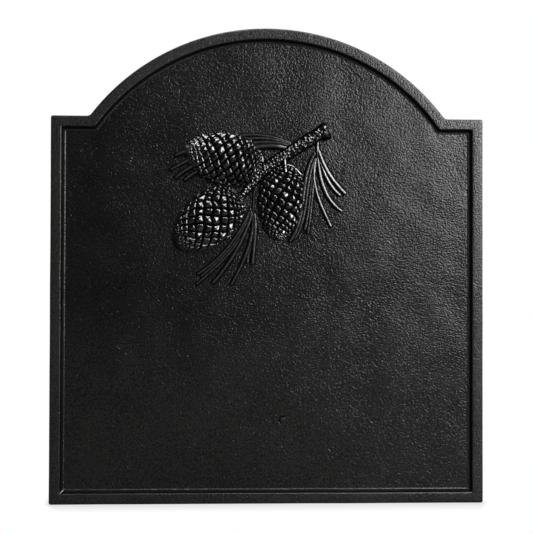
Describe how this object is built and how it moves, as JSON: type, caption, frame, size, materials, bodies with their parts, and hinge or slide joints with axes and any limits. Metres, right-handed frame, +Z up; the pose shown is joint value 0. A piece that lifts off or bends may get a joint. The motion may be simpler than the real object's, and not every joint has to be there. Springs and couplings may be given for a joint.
{
  "type": "fireback",
  "caption": "Cast-iron fireback: an arched plate with a raised rim and a sprig of pine cones in relief, standing on rear legs bolted to bosses on its back.",
  "frame": {"origin": "middle of the plate's bottom edge, at half the thickness of its flat panel", "axes": "+X to the right seen from the front, -Y towards the room, +Z up"},
  "size_m": [0.508, 0.117, 0.5569],
  "materials": {
    "plate_iron": "satin black heat-proof paint over a sand-cast skin",
    "relief_iron": "the same black paint, glossier on the raised relief",
    "leg_iron": "satin black heat-proof paint over a sand-cast skin",
    "bolt_steel": "black-oxide steel",
    "washer_steel": "black-oxide steel"
  },
  "bodies": {
    "root": {"back_plate": "plate_iron", "rim_moulding": "plate_iron", "cone_upper": "relief_iron", "cone_lower": "relief_iron", "cone_right": "relief_iron", "branch": "relief_iron", "needles_top": "relief_iron", "needles_left": "relief_iron", "needles_bottom": "relief_iron", "needles_right": "relief_iron", "leg_left": "leg_iron", "leg_right": "leg_iron", "leg_bolts": "bolt_steel", "flat_washers": "washer_steel", "spring_washers": "washer_steel"}
  },
  "joints": []
}
